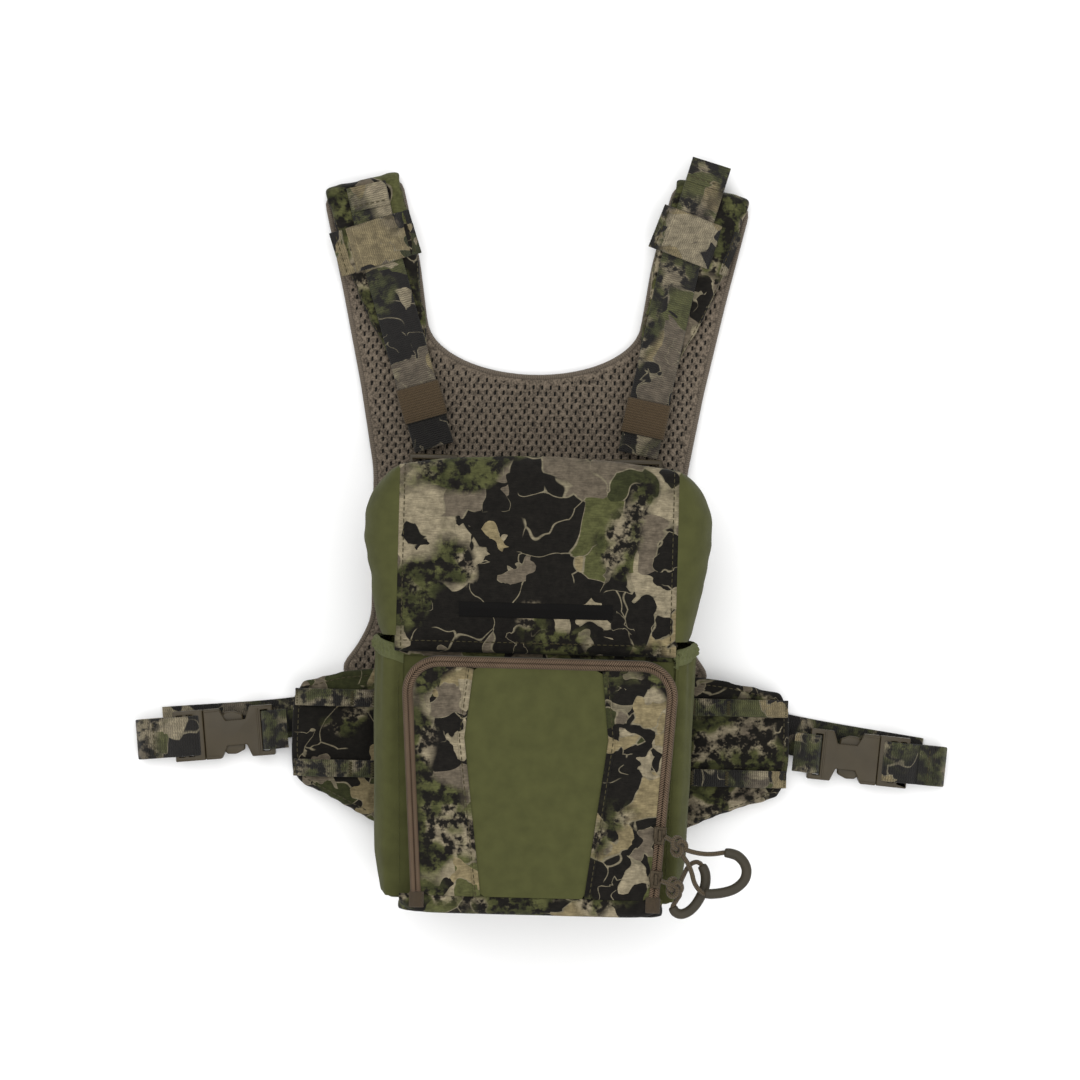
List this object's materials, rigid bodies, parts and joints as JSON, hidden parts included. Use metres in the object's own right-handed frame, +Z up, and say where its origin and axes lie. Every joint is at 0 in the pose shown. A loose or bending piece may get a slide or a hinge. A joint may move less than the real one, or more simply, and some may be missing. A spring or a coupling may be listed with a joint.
{
  "type": "binocular harness pack",
  "caption": "Chest pack for binoculars with a forward-opening lid, zipped front pocket, side pockets and webbed wings on a padded mesh shoulder harness with side-release buckles.",
  "frame": {"origin": "on the surface the harness lies on, on the pack's centre line, near the middle of the laid-out length", "axes": "+X to the viewer's right across the pack, +Y from the pack towards the shoulders, +Z up out of the pack's front"},
  "size_m": [0.5025, 0.4612, 0.1212],
  "materials": {
    "camo_fabric": "brushed nylon with a blotched olive, brown, taupe and tan pattern",
    "camo_elastic": "ribbed woven elastic in the blotched pattern",
    "camo_webbing": "woven nylon webbing in the blotched pattern",
    "spacer_mesh": "open spacer mesh over foam, taupe brown",
    "brown_elastic": "ribbed coyote brown elastic",
    "buckle_plastic": "moulded acetal, dark coyote, matte",
    "stretch_olive": "smooth stretch-woven nylon, olive green",
    "plastic_sheet": "plain polyethylene sheet",
    "magnet": "nickel-plated disc",
    "zipper_tape": "taupe reverse-coil zipper tape",
    "label_cloth": "plain black woven label with a tan hem line",
    "slider_metal": "painted die-cast zinc, dark brown",
    "pull_cord": "braided nylon cord, brown with a dark tracer",
    "pull_sleeve": "soft extruded sleeve, dark olive brown"
  },
  "bodies": {
    "pack": {"yoke_cover": "camo_fabric", "yoke_mesh": "spacer_mesh", "shoulder_pad_left": "camo_fabric", "shoulder_pad_right": "camo_fabric", "tail_band_left": "camo_elastic", "tail_band_right": "camo_elastic", "shoulder_strap_left": "camo_webbing", "shoulder_strap_right": "camo_webbing", "strap_tail_left": "camo_webbing", "strap_tail_right": "camo_webbing", "ladder_lock_left": "buckle_plastic", "ladder_lock_right": "buckle_plastic", "lock_tabs": "camo_webbing", "anchor_strap_left": "camo_webbing", "anchor_strap_right": "camo_webbing", "back_panel": "camo_fabric", "frame_sheet": "plastic_sheet", "back_mesh_pad": "spacer_mesh", "body_shell": "stretch_olive", "bottom_panel": "camo_fabric", "side_pocket_left": "stretch_olive", "side_pocket_right": "stretch_olive", "pocket_hem_left": "stretch_olive", "pocket_hem_right": "stretch_olive", "closure_flap": "stretch_olive", "body_magnets": "magnet", "wing_left": "camo_fabric", "wing_right": "camo_fabric", "wing_webbing_left": "camo_webbing", "wing_webbing_right": "camo_webbing", "wing_strap_left": "camo_webbing", "wing_strap_right": "camo_webbing", "buckle_socket_left": "buckle_plastic", "buckle_socket_right": "buckle_plastic", "pocket_gusset": "camo_fabric", "zipper_body_half": "zipper_tape"},
    "lid": {"lid_panel": "camo_fabric", "lid_gusset_left": "stretch_olive", "lid_gusset_right": "stretch_olive", "lid_stiffener": "plastic_sheet", "lid_label": "label_cloth", "lid_magnets": "magnet"},
    "pocket_door": {"door_centre": "stretch_olive", "door_sides": "camo_fabric", "zipper_door_half": "zipper_tape"},
    "zip_upper": {"slider_upper": "slider_metal"},
    "zip_lower": {"slider_lower": "slider_metal"},
    "pull_upper": {"pull_cord_upper": "pull_cord", "pull_tube_upper": "pull_sleeve"},
    "pull_lower": {"pull_cord_lower": "pull_cord", "pull_tube_lower": "pull_sleeve"},
    "keeper_ring_left": {"keeper_left": "brown_elastic"},
    "keeper_ring_right": {"keeper_right": "brown_elastic"},
    "buckle_half_left": {"buckle_plug_left": "buckle_plastic", "latch_arms_left": "buckle_plastic", "side_strap_left": "camo_webbing"},
    "buckle_half_right": {"buckle_plug_right": "buckle_plastic", "latch_arms_right": "buckle_plastic", "side_strap_right": "camo_webbing"}
  },
  "joints": [
    {"name": "lid_hinge", "type": "hinge", "parent": "pack", "child": "lid", "pos_m": [0, -0.066, 0.098], "axis": [1, 0, 0], "range_deg": [0, 105]},
    {"name": "pocket_door_hinge", "type": "hinge", "parent": "pack", "child": "pocket_door", "pos_m": [0, -0.2146, 0.1148], "axis": [1, 0, 0], "range_deg": [0, 75]},
    {"name": "upper_slider_travel", "type": "slide", "parent": "pocket_door", "child": "zip_upper", "axis": [0.0663, 0.9978, 0], "range_m": [-0.008, 0.075]},
    {"name": "lower_slider_travel", "type": "slide", "parent": "pocket_door", "child": "zip_lower", "axis": [0.0663, 0.9978, 0], "range_m": [-0.005, 0.006]},
    {"name": "upper_pull_swing", "type": "hinge", "parent": "zip_upper", "child": "pull_upper", "pos_m": [0.07649, -0.174, 0.118], "axis": [0, 0, 1], "range_deg": [-8, 30]},
    {"name": "lower_pull_swing", "type": "hinge", "parent": "zip_lower", "child": "pull_lower", "pos_m": [0.07476, -0.2, 0.118], "axis": [0, 0, 1], "range_deg": [-6, 10]},
    {"name": "left_keeper_slide", "type": "slide", "parent": "pack", "child": "keeper_ring_left", "axis": [-0.2917, 0.9565, 0], "range_m": [-0.012, 0.005]},
    {"name": "right_keeper_slide", "type": "slide", "parent": "pack", "child": "keeper_ring_right", "axis": [0.191, 0.9816, 0], "range_m": [-0.008, 0.01]},
    {"name": "left_buckle_release", "type": "slide", "parent": "pack", "child": "buckle_half_left", "axis": [-0.9945, -0.1045, 0], "range_m": [0, 0.03], "deforming": ["latch_arms_left"]},
    {"name": "right_buckle_release", "type": "slide", "parent": "pack", "child": "buckle_half_right", "axis": [0.9969, -0.0785, 0], "range_m": [0, 0.03], "deforming": ["latch_arms_right"]}
  ]
}
